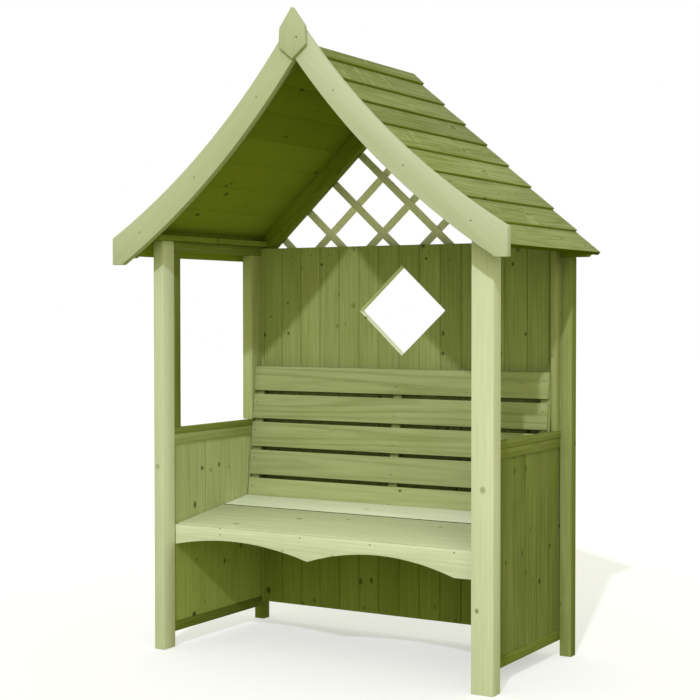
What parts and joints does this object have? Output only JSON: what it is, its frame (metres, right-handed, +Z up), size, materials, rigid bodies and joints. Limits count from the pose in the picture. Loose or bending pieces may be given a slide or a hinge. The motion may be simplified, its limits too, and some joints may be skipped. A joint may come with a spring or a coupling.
{
  "type": "arbour seat",
  "caption": "Timber garden arbour seat with a swept gable roof of lapped boards, panelled sides with open windows, a trellis gable and a diamond window behind a slatted bench.",
  "frame": {"origin": "on the ground, in the middle of the overall width and depth", "axes": "+Z up, +Y to the back, so the open front faces -Y; +X to the right seen from the front"},
  "size_m": [1.43, 0.7866, 2.0584],
  "materials": {
    "post_timber": "planed softwood, pale green pressure treatment",
    "frame_timber": "planed softwood, pale green pressure treatment",
    "matchboard_timber": "planed softwood, pale green pressure treatment",
    "seat_timber": "planed softwood, pale green pressure treatment",
    "slat_timber": "planed softwood, pale green pressure treatment",
    "roof_timber": "planed softwood, pale green pressure treatment",
    "rafter_timber": "planed softwood, pale green pressure treatment",
    "barge_timber": "planed softwood, pale green pressure treatment",
    "trellis_timber": "planed softwood, pale green pressure treatment"
  },
  "bodies": {
    "root": {"post_front_left": "post_timber", "post_front_right": "post_timber", "post_rear_left": "post_timber", "post_rear_right": "post_timber", "bottom_rail_left": "frame_timber", "sill_rail_left": "frame_timber", "sill_cap_left": "frame_timber", "top_rail_left": "frame_timber", "window_stile_front_left": "frame_timber", "window_stile_rear_left": "frame_timber", "eaves_plate_left": "frame_timber", "seat_bearer_left": "frame_timber", "back_batten_left": "frame_timber", "side_boards_left": "matchboard_timber", "roof_board_left_1": "roof_timber", "roof_board_left_2": "roof_timber", "roof_board_left_3": "roof_timber", "roof_board_left_4": "roof_timber", "roof_board_left_5": "roof_timber", "roof_board_left_6": "roof_timber", "roof_board_left_7": "roof_timber", "roof_board_left_8": "roof_timber", "bargeboard_left": "barge_timber", "bottom_rail_right": "frame_timber", "sill_rail_right": "frame_timber", "sill_cap_right": "frame_timber", "top_rail_right": "frame_timber", "window_stile_front_right": "frame_timber", "window_stile_rear_right": "frame_timber", "eaves_plate_right": "frame_timber", "seat_bearer_right": "frame_timber", "back_batten_right": "frame_timber", "side_boards_right": "matchboard_timber", "roof_board_right_1": "roof_timber", "roof_board_right_2": "roof_timber", "roof_board_right_3": "roof_timber", "roof_board_right_4": "roof_timber", "roof_board_right_5": "roof_timber", "roof_board_right_6": "roof_timber", "roof_board_right_7": "roof_timber", "roof_board_right_8": "roof_timber", "bargeboard_right": "barge_timber", "back_boards": "matchboard_timber", "back_bottom_rail": "frame_timber", "diamond_frame": "frame_timber", "seat_bearer_rear": "frame_timber", "back_batten_middle": "frame_timber", "seat_board_front": "seat_timber", "seat_board_rear": "seat_timber", "seat_apron": "seat_timber", "back_slat_1": "slat_timber", "back_slat_2": "slat_timber", "back_slat_3": "slat_timber", "back_slat_4": "slat_timber", "back_slat_5": "slat_timber", "ridge_cap": "roof_timber", "gable_frame_front": "rafter_timber", "gable_frame_rear": "rafter_timber", "finial_plate": "barge_timber", "gable_trellis": "trellis_timber"}
  },
  "joints": []
}
